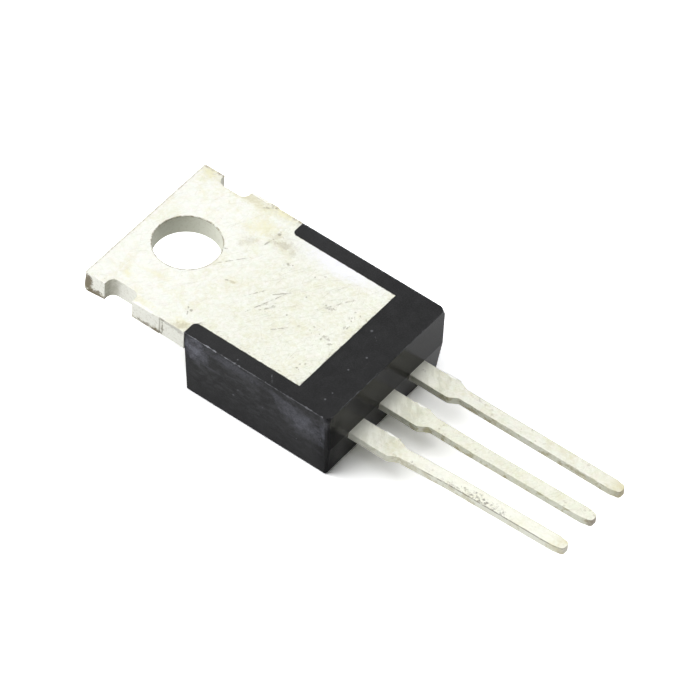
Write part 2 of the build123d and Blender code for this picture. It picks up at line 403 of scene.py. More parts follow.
def buildTinPlating():
    # matte tin: mottled cream tone, cloudy stains, brushed grain, handling scratches and specks
    tree, starts, ends = newGroup("tin plating", {
        "Position": (0.0, 0.0, 0.0), "Plane": (0.0, 0.0, 0.0), "Bright": shade(252, 252, 243),
        "Dull": shade(226, 226, 205), "Stain": shade(214, 210, 166), "Scratch": 0.5,
        "Mottle": 0.5, "Stained": 0.3, "Specks": 0.5, "Dirty": 0.0, "Angle": 1.0}, {
        "Color": "Color", "Roughness": "Float", "Height": "Float"})
    place, plane = starts["Position"], starts["Plane"]
    turned = turnedBack(tree, plane, starts["Angle"])
    cloud = noise(tree, place, 0.8, 4.0, 0.62, 0.5)
    mottle = noise(tree, place, 4.4, 5.0, 0.7, 0.4)
    grain = noise(tree, place, 13.0, 3.0, 0.65)
    brushed = noise(tree, vectorCalc(tree, "MULTIPLY", turned, (0.22, 1.0, 1.0)), 9.0, 3.0, 0.6)
    patchy = ramp(tree, mottle, 0.36, 0.64)
    tone = product(tree, ramp(tree, brushed, 0.4, 0.68), 0.2)
    tone = calc(tree, "MULTIPLY_ADD", patchy, 0.45, tone)
    tone = calc(tree, "MULTIPLY_ADD", ramp(tree, grain, 0.34, 0.66), 0.25, tone)
    tone = calc(tree, "MULTIPLY", tone, starts["Mottle"], clamp=True)
    color = mixColor(tree, tone, starts["Bright"], starts["Dull"])
    stain = product(tree, ramp(tree, cloud, 0.42, 0.7), ramp(tree, mottle, 0.32, 0.6, 0.3, 1.0),
                    starts["Stained"])
    color = mixColor(tree, stain, color, starts["Stain"])

    def hairlines(kind):
        return strongest(tree, *[useGroup(tree, scratches, {
            "Plane": plane, "Cell": cell, "Angle": calc(tree, "ADD", starts["Angle"], turn),
            "Spread": spread, "Width": width, "Chance": chance, "Seed": seed})["Mask"]
            for cell, turn, spread, width, chance, seed in hairlineFamilies[kind]])

    faded = ramp(tree, noise(tree, place, 1.7, 3.0, 0.6), 0.36, 0.62, 0.25, 1.0)
    dark = product(tree, strongest(tree, hairlines("fine"), product(tree, hairlines("cross"), 0.6)),
                   starts["Scratch"], faded)
    color = tint(tree, color, dark, 0.5, (158, 154, 124))
    color = tint(tree, color, product(tree, hairlines("pale"), starts["Scratch"]), 0.4,
                 (255, 255, 252))
    single = product(tree, grains(tree, place, 0.42, 0.045, 0.3), ramp(
        tree, cloud, 0.35, 0.6, 0.35, 1.0))
    crowded = product(tree, grains(tree, place, 0.20, 0.11, 0.8), starts["Dirty"])
    dirt = strongest(tree, product(tree, single, starts["Specks"]), crowded)
    color = tint(tree, color, dirt, 0.75, (140, 133, 104))
    # a breath of other hues in the oxide
    hue = addNode(tree, "TexNoise", {"Vector": place, "Scale": 2.6, "Detail": 4.0,
                                     "Roughness": 0.6}).outputs["Color"]
    color = vectorCalc(tree, "ADD", color, scaled(tree, vectorCalc(
        tree, "SUBTRACT", hue, (0.5, 0.5, 0.5)), 0.07))
    plug(tree, color, ends["Color"])
    rough = calc(tree, "MULTIPLY_ADD", mottle, 0.16, 0.36)
    plug(tree, minus(tree, rough, product(tree, dark, 0.08)), ends["Roughness"])
    height = calc(tree, "MULTIPLY_ADD", grain, 0.35, product(tree, mottle, 0.5))
    height = calc(tree, "MULTIPLY_ADD", brushed, 0.3, height)
    plug(tree, minus(tree, height, product(tree, dark, 0.8)), ends["Height"])
    return tree


def buildShearedEdge():
    # a stamped edge: smooth plated metal, and where it was cut after plating a torn, stained foot
    tree, starts, ends = newGroup("sheared edge", {
        "Position": (0.0, 0.0, 0.0), "Depth": 0.0, "Raw": 0.0, "Pale": shade(246, 246, 236),
        "Torn": shade(168, 158, 128), "Brown": shade(98, 84, 60)}, {
        "Color": "Color", "Roughness": "Float", "Height": "Float"})
    place = starts["Position"]
    lumps = noise(tree, place, 2.0, 4.0, 0.62, 0.4)
    crumbs = noise(tree, place, 7.5, 3.0, 0.65)
    uneven = calc(tree, "MULTIPLY_ADD", minus(tree, lumps, 0.5), 1.1, product(
        tree, minus(tree, crumbs, 0.5), 0.45))
    ragged = calc(tree, "ADD", starts["Depth"], uneven)
    torn = product(tree, ramp(tree, ragged, 0.66, 0.9), starts["Raw"])
    brown = product(tree, ramp(tree, ragged, 0.86, 1.0), starts["Raw"])
    speckled = product(tree, ramp(tree, crumbs, 0.58, 0.72), starts["Raw"])
    color = starts["Pale"]
    for mask, strength, target in ((ramp(tree, crumbs, 0.45, 0.7), 0.22, "Torn"),
                                   (torn, 0.75, "Torn"), (brown, 0.92, "Brown"),
                                   (speckled, 0.5, "Torn")):
        color = mixColor(tree, product(tree, mask, strength), color, starts[target])
    plug(tree, color, ends["Color"])
    rougher = strongest(tree, torn, brown)
    plug(tree, calc(tree, "MULTIPLY_ADD", rougher, 0.25, 0.4), ends["Roughness"])
    fineHeight = product(tree, crumbs, calc(tree, "MULTIPLY_ADD", rougher, 0.8, 0.15))
    plug(tree, calc(tree, "MULTIPLY_ADD", lumps, calc(
        tree, "MULTIPLY_ADD", rougher, 1.6, 0.3), fineHeight), ends["Height"])
    return tree


def buildLeadWear():
    # what trimming and handling leave on a lead: streaks painted as the shade of bent metal, dirt
    # towards the tip, a painted highlight on the burr, and the root painted lighter as painted light
    tree, starts, ends = newGroup("lead wear", {
        "Position": (0.0, 0.0, 0.0), "Start": 13.0, "Side": 0.0}, {
        "Streaks": "Float", "Dirt": "Float", "Glint": "Float", "LitRoot": "Float",
        "Stain": "Float", "Cut": "Float"})
    place = starts["Position"]
    x, y, z = split(tree, place)
    out = minus(tree, x, starts["Start"])
    stretched = vectorCalc(tree, "MULTIPLY", turnedBack(tree, place, -0.9), (0.35, 1.0, 1.0))
    streaks = noise(tree, stretched, 2.6, 4.0, 0.65)
    clouds = noise(tree, place, 1.3, 4.0, 0.65)
    stains = noise(tree, place, 1.7, 4.0, 0.6)
    # a painted highlight on the torn end of the dam bar, which is bent up
    across = minus(tree, minus(tree, y, starts["Side"]), 0.66)
    along = minus(tree, out, damBar)
    peak = calc(tree, "ADD", calc(tree, "ABSOLUTE", product(tree, across, 8.0)),
                calc(tree, "ABSOLUTE", product(tree, along, 2.2)))
    masks = {
        # streaks by the dam bar: painted shade of the bent metal, as darker lines in the plating
        "Streaks": (ramp(tree, streaks, 0.4, 0.62), ramp(tree, out, damBar + 0.88, damBar + 0.18),
                    ramp(tree, out, 0.2, 1.2, 0.3, 1.0)),
        "Dirt": (ramp(tree, clouds, 0.48, 0.66), ramp(tree, out, 1.0, 3.5, 0.2, 0.5)),
        "Glint": (ramp(tree, peak, 1.1, 0.5), ramp(tree, z, leadHigh.z - 0.23, leadHigh.z - 0.03)),
        # painted light: the root near the body is painted lighter where the body shades it
        "LitRoot": (ramp(tree, out, 2.0, 0.3),),
        "Stain": (ramp(tree, stains, 0.52, 0.62), ramp(tree, out, 1.0, 2.5)),
        "Cut": (ramp(tree, out, leadLength - 0.4, leadLength - 0.15),
                ramp(tree, streaks, 0.3, 0.6, 0.5, 1.0)),
    }
    for name, parts in masks.items():
        plug(tree, product(tree, *parts), ends[name])
    return tree


tinPlating = buildTinPlating()
leadWear = buildLeadWear()
shearedEdge = buildShearedEdge()
print("node groups built")

# on all three leads: how strongly each kind of wear covers the plating, and its colour; the root's
# painted light, the burr's painted highlight and the streaks' painted shade are among them
leadCovers = {
    "LitRoot": (0.9, (253, 253, 240)), "Streaks": (0.4, (184, 184, 160)),
    "Glint": (0.9, (255, 255, 250)), "Stain": (0.6, (168, 158, 106)), "Cut": (1.0, (132, 112, 92)),
}


def plate(tree, coords, values, scratch, mottle, dirty):
    # tin plating in the colours and amounts of one finish
    return useGroup(tree, tinPlating, {
        "Position": coords["Position"], "Plane": coords["Plane"], "Scratch": scratch,
        "Bright": shade(*values["bright"]), "Dull": shade(*values["dull"]),
        "Stain": shade(*values["stain"]), "Mottle": mottle, "Stained": values["stained"],
        "Specks": values["specks"], "Dirty": dirty, "Angle": values["scratchAngle"]})


def coverLead(tree, color, handled, onLead, steep, cutShare):
    onSide = product(tree, onLead, steep)
    areas = {"LitRoot": onLead, "Streaks": onLead, "Glint": onLead, "Stain": onSide,
             "Cut": product(tree, onSide, cutShare)}
    for mark, area in areas.items():
        color = tint(tree, color, product(tree, area, handled[mark]), *leadCovers[mark])
    return color


def emptyTree(holder):
    # the cleared node tree of a material or a world
    holder.use_nodes = True
    holder.node_tree.nodes.clear()
    return holder.node_tree


def newMaterial(name):
    material = bpy.data.materials.new(name)
    tree = emptyTree(material)
    shader = addNode(tree, "BsdfPrincipled")
    tree.links.new(shader.outputs[0], addNode(tree, "OutputMaterial").inputs["Surface"])
    return material, tree, shader


def dress(nodeName, material):
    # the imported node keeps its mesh, only its material changes
    slots = nodes[nodeName].data.materials
    slots.clear()
    slots.append(material)
    for face in nodes[nodeName].data.polygons:
        face.material_index = 0


def finishSurface(tree, shader, color, roughness, height, normal, depth):
    bump = addNode(tree, "Bump", {"Distance": depth * mm, "Height": height, "Normal": normal})
    plug(tree, color, shader.inputs["Base Color"])
    plug(tree, roughness, shader.inputs["Roughness"])
    plug(tree, bump.outputs[0], shader.inputs["Normal"])


# The tab, its header and the middle lead are one stamped strip of tinned copper

tabFinish = {
    "bright": (253, 253, 246), "dull": (226, 227, 210), "stain": (228, 224, 188),
    "scratchAngle": 1.02, "scratch": 0.5, "mottle": 0.6, "stained": 0.45, "specks": 0.55,
    "edgeRadius": 0.04, "bumpDepth": 0.007, "metal": 0.65, "flash": 0.05, "burr": 0.09,
    "leadTone": (238, 238, 231), "holeRoughness": 0.62, "cutShare": 0.7,
    # how strongly each kind of dirt or wear covers the plating, and its colour; also the painted
    # highlight along the stub's burr and the painted shade in the notch corners
    "covers": {
        "hole": (0.4, (216, 218, 200)), "rim": (0.55, (112, 100, 72)),
        "notch": (0.65, (156, 153, 132)), "edgeDirt": (0.8, (140, 122, 76)),
        "yellowed": (1.0, (238, 234, 196)), "smudges": (1.0, (176, 166, 138)),
        "clean": (1.0, (245, 245, 248)), "marks": (0.6, (122, 108, 82)),
        "sideDirt": (1.0, (112, 100, 72)), "dulled": (0.25, (226, 227, 210)),
        "burr": (1.0, (255, 254, 246)), "film": (0.85, (58, 58, 54)),
        "grime": (0.5, (158, 150, 118)), "worn": (0.5, (146, 138, 108)),
    },
    # dark marks on the mounting face: start, end and width in millimetres
    "marks": [
        ((2.72, -3.24), (3.09, -3.86), 0.05), ((2.80, -3.62), (3.08, -3.50), 0.07),
        ((3.14, 2.44), (3.24, 2.86), 0.06), ((5.20, -1.92), (6.11, 0.48), 0.03),
        ((4.55, -0.97), (5.19, 0.07), 0.03), ((5.61, 0.00), (6.25, 0.70), 0.05),
        ((5.72, -1.27), (6.21, -0.57), 0.06), ((1.97, -0.22), (3.21, 1.37), 0.025),
        ((6.90, -2.01), (7.91, -0.94), 0.045), ((8.53, 1.51), (9.08, 2.40), 0.05),
        ((8.19, 0.98), (8.73, 1.25), 0.09), ((9.33, -0.55), (9.75, -0.60), 0.12),
        ((9.79, -0.91), (10.01, -0.73), 0.09), ((3.09, -0.76), (3.40, -0.62), 0.05),
        ((1.66, 0.91), (1.86, 1.00), 0.05), ((6.85, 2.68), (7.05, 2.72), 0.05),
        ((1.44, 4.39), (2.10, 4.86), 0.07), ((3.82, -4.09), (4.17, -3.68), 0.03),
    ],
    "pits": [(3.08, -3.50, 0.12), (7.01, -0.63, 0.075), (4.90, 2.16, 0.11), (6.53, 2.34, 0.06),
             (7.03, 0.97, 0.07), (9.61, -3.11, 0.08), (5.15, 2.24, 0.06), (3.29, 3.50, 0.13)],
    # spots crowded with fine dirt, brownish and yellowed stains, and the strip rubbed clean
    "dirty": [((9.0, -0.75), (0.7, 0.9), 0.0, 1.0), ((9.8, 0.9), (0.45, 1.2), 0.0, 1.0),
              ((5.0, 1.9), (0.5, 0.6), 0.0, 0.8), ((8.3, 1.1), (0.6, 0.5), 0.0, 0.8),
              ((3.5, 3.3), (0.8, 0.6), 0.0, 0.9), ((9.5, -2.9), (0.7, 0.8), 0.0, 0.9),
              ((5.9, -0.9), (0.6, 0.6), 0.0, 0.8), ((3.6, -4.5), (0.5, 0.4), 0.0, 0.8)],
    "smudges": [((3.95, 3.05), (0.85, 0.42), 0.2, 0.55), ((4.55, 2.92), (0.55, 0.3), -0.5, 0.45),
                ((4.0, 3.1), (1.5, 0.8), 0.0, 0.22), ((2.35, 2.1), (0.8, 0.4), 0.9, 0.3),
                ((3.30, 3.25), (0.35, 0.4), 0.0, 0.32), ((3.40, -4.60), (0.7, 0.35), 0.4, 0.5),
                ((3.95, -4.2), (0.5, 0.2), 0.5, 0.35), ((7.96, -0.82), (0.12, 0.12), 0.0, 0.5),
                ((0.2, 4.5), (2.0, 0.4), 0.0, 0.3), ((3.50, -0.64), (0.22, 0.14), 0.3, 0.5)],
    "yellowed": [((2.4, 3.3), (1.4, 0.9), 0.3, 0.6), ((0.6, 4.5), (3.6, 0.5), 0.0, 0.6),
                 ((2.6, 4.8), (1.1, 0.5), 0.0, 0.8), ((-2.2, 4.6), (0.7, 0.6), 0.0, 0.7),
                 ((3.4, -4.5), (0.9, 0.5), 0.0, 0.7), ((0.5, -4.6), (2.0, 0.35), 0.0, 0.45),
                 ((-1.0, -3.6), (0.5, 0.3), 0.0, 0.6), ((0.2, -2.7), (1.4, 0.3), 0.1, 0.4),
                 ((3.5, -0.6), (0.3, 0.2), 0.5, 0.6)],
    "clean": [((7.1, 3.85), (3.8, 1.3), 0.0, 1.0)],
    # brown dirt on the near side, x along and z up, then down in the corner of its notch
    "sideDirt": [
        ((-2.52, -0.62), (0.34, 0.68), 0.0, 0.9), ((-2.10, -1.10), (0.66, 0.30), 0.0, 0.85),
        ((-1.60, -1.15), (0.30, 0.12), 0.0, 0.35), ((1.35, -1.06), (0.5, 0.14), 0.0, 0.55),
        ((1.95, -1.08), (0.50, 0.20), 0.0, 0.85), ((2.33, -0.70), (0.08, 0.62), 0.0, 0.65),
        ((0.85, -1.03), (0.16, 0.10), 0.0, 0.6), ((2.95, -0.08), (0.65, 0.14), 0.0, 0.35),
        ((3.45, -0.10), (0.35, 0.2), 0.0, 0.30), ((2.30, -0.05), (0.16, 0.12), 0.0, 0.6),
    ],
}


def tabMaterial(values):
    material, tree, shader = newMaterial("tinned tab strip")
    covers = values["covers"]
    coords = useGroup(tree, faceCoordinates)
    place, plane = coords["Position"], coords["Plane"]
    x, y, z = split(tree, place)
    wide = calc(tree, "ABSOLUTE", y)
    steep = steepness(tree, coords)
    onTab = ramp(tree, x, bodyHigh.x - 0.4, bodyHigh.x - 0.6)
    onLead = minus(tree, 1.0, onTab)
    onTop = product(tree, ramp(tree, coords["Facing Up"], 0.8, 0.95), onTab)
    flank = product(tree, onTab, steep)
    rough = noise(tree, place, 4.0, 5.0, 0.72, 0.3)
    handled = useGroup(tree, leadWear, {"Position": place, "Start": bodyHigh.x})
    dirty, canvas = takePainted(tree, paintBlots(tree, plane, rough, values["dirty"], 3.0))
    lessOnLead = mixValue(tree, onTab, 0.6, 1.0)
    scratch = product(tree, ramp(tree, x, 2.0, 9.0, 1.0, 1.9), lessOnLead, values["scratch"])
    mottle = product(tree, ramp(tree, x, -1.0, 8.0, 0.85, 1.9), lessOnLead, values["mottle"])
    dirt = mixValue(tree, onTab, handled["Dirt"], product(tree, dirty, onTop))
    plating = plate(tree, coords, values, scratch, mottle, dirt)

    # the ears and the stubs were cut from the strip after plating
    raw = product(tree, ramp(tree, wide, tabHalf - 0.315, tabHalf - 0.115), ramp(
        tree, x, stubEnd + 0.07, stubEnd - 0.05))
    sheared = useGroup(tree, shearedEdge, {
        "Position": place, "Depth": calc(tree, "DIVIDE", z, -tabThickness),
        "Raw": product(tree, raw, 0.5)})
    color = mixColor(tree, flank, plating["Color"], sheared["Color"])
    fromHole = length(tree, vectorCalc(tree, "MULTIPLY", place, (1.0, 1.0, 0.0)))
    hole = ramp(tree, fromHole, holeRadius + 0.07, holeRadius + 0.02)
    color = tint(tree, color, product(tree, flank, hole), *covers["hole"])
    rim = product(tree, hole, ramp(tree, z, -0.09, -0.03), ramp(tree, rough, 0.42, 0.56, 0.2, 1.0))
    color = tint(tree, color, rim, *covers["rim"])
    # the inner corner of each notch, beside the ear, is painted darker: painted shade in the corner
    corner = product(tree, flank, ramp(tree, wide, 3.7, 3.9), ramp(
        tree, x, notchStart + 0.72, notchStart + 0.15), ramp(
            tree, x, notchStart - 0.05, notchStart + 0.02), ramp(tree, rough, 0.3, 0.6, 0.55, 1.0))
    color = tint(tree, color, corner, *covers["notch"])

    # brown dirt has collected along the far long edge, the end and the lip of the hole
    farEdge = product(tree, strongest(tree, ramp(tree, y, tabHalf - 0.255, tabHalf - 0.055), ramp(
        tree, y, tabHalf - 0.815, tabHalf - 0.015, 0.0, 0.4)), ramp(
            tree, rough, 0.40, 0.54, 0.3, 1.0))
    endEdge = product(tree, ramp(tree, x, tabLow.x + 0.13, tabLow.x + 0.02), ramp(
        tree, rough, 0.38, 0.56, 0.15, 0.8))
    lip = product(tree, ramp(tree, fromHole, holeRadius + 0.09, holeRadius + 0.02), ramp(
        tree, rough, 0.42, 0.56, 0.15, 0.9))
    edgeDirt = product(tree, onTop, strongest(tree, farEdge, endEdge, lip), ramp(
        tree, noise(tree, place, 6.0, 3.0, 0.6), 0.36, 0.6, 0.35, 1.0))
    color = tint(tree, color, edgeDirt, *covers["edgeDirt"])

    for kind, ragged, core in (("yellowed", 2.0, 0.0), ("smudges", 3.0, 0.1), ("clean", 0.8, 0.15)):
        canvas = paintBlots(tree, canvas, rough, values[kind], ragged, core)
        painted, canvas = takePainted(tree, canvas)
        color = tint(tree, color, product(tree, painted, onTop), *covers[kind])
    notCleaned = minus(tree, 1.0, painted)
    canvas = paintStrokes(tree, canvas, rough, values["marks"])
    marked, canvas = takePainted(tree, paintDots(tree, canvas, rough, values["pits"]))
    dark = product(tree, marked, onTop)
    color = tint(tree, color, dark, *covers["marks"])
    canvas = vectorCalc(tree, "SUBTRACT", canvas, (0.0, sidePlane, 0.0))
    dirtySide, _ = takePainted(tree, paintBlots(tree, canvas, rough, values["sideDirt"], 3.0, 0.5))
    onNearSide = product(tree, dirtySide, flank, ramp(tree, y, -4.0, -4.2))
    color = tint(tree, color, onNearSide, *covers["sideDirt"])

    # the plating is a little duller towards the moulding and on the lead, and a painted highlight
    # runs along the burr of the stub
    color = tint(tree, color, product(tree, onTop, ramp(tree, x, -0.5, 7.0), notCleaned),
                 *covers["dulled"])
    color = mixColor(tree, onLead, color, shade(*values["leadTone"]), "MULTIPLY")
    color = coverLead(tree, color, handled, onLead, steep, values["cutShare"])
    fromStub = calc(tree, "ABSOLUTE", minus(tree, x, notchEnd + 0.63))
    burrStart = tabHalf - values["burr"]
    # painted highlight: a bright line along the burr of the stub
    burr = product(tree, ramp(tree, wide, burrStart - 0.035, burrStart + 0.005), ramp(
        tree, fromStub, 0.72, 0.60), ramp(tree, z, -values["burr"], -0.5 * values["burr"]), ramp(
            tree, rough, 0.36, 0.48))
    color = tint(tree, color, burr, *covers["burr"])

    # a ragged film of plastic and some grime along the border of the moulding
    border = calc(tree, "MINIMUM", minus(tree, padHalf, wide),
                  minus(tree, padEnd, x))
    beside = product(tree, onTop, ramp(tree, x, bodyLow.x + 0.1, bodyLow.x + 0.3))
    filmWidth = product(tree, values["flash"], ramp(
        tree, noise(tree, place, 2.8, 4.0, 0.65), 0.35, 0.7, 0.1, 1.6))
    film = product(tree, ramp(tree, border, filmWidth, 0.0), beside)
    color = tint(tree, color, film, *covers["film"])
    grime = product(tree, beside, ramp(tree, border, 0.45, 0.0), ramp(
        tree, noise(tree, place, 4.5, 4.0, 0.65), 0.5, 0.66), ramp(tree, y, 3.0, 2.2))
    color = tint(tree, color, grime, *covers["grime"])

    wear = wearEdges(tree, place, values["edgeRadius"], 0.85, 2.2)
    worn = calc(tree, "SUBTRACT", wear["Mask"], burr, clamp=True)
    color = tint(tree, color, worn, *covers["worn"])
    roughness = mixValue(tree, flank, plating["Roughness"], mixValue(
        tree, hole, sheared["Roughness"], values["holeRoughness"]))
    height = mixValue(tree, flank, plating["Height"], sheared["Height"])
    height = minus(tree, height, dark)
    finishSurface(tree, shader, color, roughness, height, wear["Normal"], values["bumpDepth"])
    plug(tree, mixValue(tree, film, values["metal"], 0.0), shader.inputs["Metallic"])
    return material


dress("heat_sink_tab", tabMaterial(tabFinish))
print("tab dressed")


# The side leads

leadFinish = {
    "bright": (235, 235, 224), "dull": (208, 208, 188), "stain": (204, 197, 156),
    "scratchAngle": 0.05, "scratch": 0.5, "mottle": 0.6, "stained": 0.45, "specks": 0.5,
    "edgeRadius": 0.06, "bumpDepth": 0.007, "metal": 0.65, "cutShare": 0.5,
    # how strongly each kind of dirt or wear covers the plating, and its colour; the sideways faces
    # are also painted a little darker as painted shade
    "covers": {
        "side": (0.25, (208, 206, 180)), "rubbed": (0.35, (252, 252, 240)),
        "eaten": (0.68, (102, 94, 74)), "worn": (0.6, (132, 120, 90)), "tip": (0.5, (208, 198, 148)),
    },
    # where the plating is pitted: centre, radii, turn and strength
    "pitted": [((19.2, -2.62), (0.8, 0.3), 0.0, 0.7), ((20.6, -2.5), (1.2, 0.45), 0.0, 1.0),
               ((22.0, -2.5), (0.9, 0.4), 0.0, 0.9), ((16.9, -2.8), (0.5, 0.3), 0.0, 0.6),
               ((23.4, -2.75), (0.9, 0.2), 0.0, 0.6), ((17.9, -2.5), (0.9, 0.3), 0.0, 0.3),
               ((16.8, 2.85), (0.5, 0.2), 0.0, 0.6), ((13.5, 2.55), (0.16, 0.12), 0.0, 1.0)],
}


def leadMaterial(values):
    material, tree, shader = newMaterial("tinned lead")
    covers = values["covers"]
    coords = useGroup(tree, faceCoordinates)
    place, plane = coords["Position"], coords["Plane"]
    x, y, z = split(tree, place)
    side = product(tree, calc(tree, "SIGN", y), leadPitch)
    handled = useGroup(tree, leadWear, {"Position": place, "Start": bodyHigh.x, "Side": side})
    rough = noise(tree, place, 4.0, 5.0, 0.72, 0.3)
    pitted, _ = takePainted(tree, paintBlots(tree, plane, rough, values["pitted"], 2.0))
    plating = plate(tree, coords, values, values["scratch"], values["mottle"],
                    strongest(tree, handled["Dirt"], pitted))
    steep = steepness(tree, coords)
    lumps = noise(tree, place, 1.6, 4.0, 0.65, 0.3)
    # the sideways faces are painted a little darker and patchy: painted shade, with some patchy tone
    color = tint(tree, plating["Color"], product(tree, steep, ramp(
        tree, lumps, 0.38, 0.62, 0.3, 1.0)), *covers["side"])
    color = coverLead(tree, color, handled, 1.0, steep, values["cutShare"])

    # small pits, and a dark broken line under the upper edge of the output lead's outer side
    fine = noise(tree, place, 5.0, 5.0, 0.78)
    pits = product(tree, ramp(tree, pitted, 0.1, 0.6), ramp(tree, fine, 0.46, 0.62))
    onOutput = ramp(tree, y, 0.0, -1.0)
    seam = product(tree, ramp(tree, split(tree, coords["Normal"])["Y"], -0.5, -0.8), onOutput, ramp(
        tree, x, 16.5, 18.5), ramp(tree, z, leadHigh.z - 0.11, leadHigh.z - 0.05), ramp(
            tree, rough, 0.42, 0.52, 0.25, 1.0))
    eaten = strongest(tree, pits, seam)
    color = tint(tree, color, product(tree, onOutput, ramp(tree, x, 15.0, 17.0)), *covers["rubbed"])
    color = tint(tree, color, eaten, *covers["eaten"])
    wear = wearEdges(tree, place, values["edgeRadius"], 1.0, 2.6)
    color = tint(tree, color, wear["Mask"], *covers["worn"])
    tip = product(tree, ramp(tree, x, leadHigh.x - 1.3, leadHigh.x), ramp(tree, lumps, 0.3, 0.6))
    color = tint(tree, color, tip, *covers["tip"])
    height = calc(tree, "MULTIPLY_ADD", eaten, -0.4, plating["Height"])
    finishSurface(tree, shader, color, plating["Roughness"], height, wear["Normal"],
                  values["bumpDepth"])
    shader.inputs["Metallic"].default_value = values["metal"]
    return material


tinnedLead = leadMaterial(leadFinish)
dress("ground_lead", tinnedLead)
dress("output_lead", tinnedLead)
print("side leads dressed")


# The moulded body

bodyFinish = {
    "black": (12, 12, 13), "grey": (38, 38, 39), "roughness": 0.36, "endRoughness": 0.11,
    "shine": 0.24, "stripShine": 0.33, "endShine": 0.29, "sideShine": 0.15, "cornerShine": 0.06,
    "edgeRadius": 0.05, "bumpDepth": 0.006,
    "backDraft": 0.08,  # how far the edge over the leads stands back
    # how strongly each kind of wear covers the plastic, and its colour, and the painted shade at the
    # end's near corner
    "covers": {
        "filler": (0.28, (64, 64, 67)), "haze": (1.0, (114, 115, 124)), "dust": (0.75, (64, 64, 67)),
        "spots": (0.22, (172, 174, 180)), "rubbed": (0.75, (172, 174, 180)),
        "corner": (0.8, (8, 8, 8)),
    },
    # lighter bluish hazy patches on the near side, x along and z up: centre, radii, turn and
    # strength
    "hazes": [
        ((4.45, -0.85), (0.95, 1.15), 0.0, 0.80), ((6.9, -0.42), (2.7, 0.45), 0.0, 0.34),
        ((9.9, -0.70), (1.2, 0.45), -0.4, 0.30), ((11.3, -1.4), (2.2, 1.2), -0.25, 0.50),
        ((12.75, -1.1), (0.4, 1.2), 0.0, 0.45), ((5.4, -1.66), (0.8, 0.1), 0.0, 0.25),
    ],
    # pale specks on the back face and the near side, then fine lines on the back face
    "specks": [(11.0, 1.29, 0.10), (11.92, -0.31, 0.09), (11.7, -1.55, 0.07), (12.04, -3.29, 0.06),
               (12.01, -3.86, 0.08), (6.98, -4.61, 0.06)],
    "sideSpecks": [(6.92, -2.61, 0.07), (7.22, -2.00, 0.05), (12.54, -1.9, 0.06),
                   (11.0, -3.0, 0.05), (8.8, -2.2, 0.04)],
    "lines": [((11.35, 1.12), (11.60, 0.90), 0.03), ((8.91, -4.25), (9.28, -4.72), 0.05)],
}


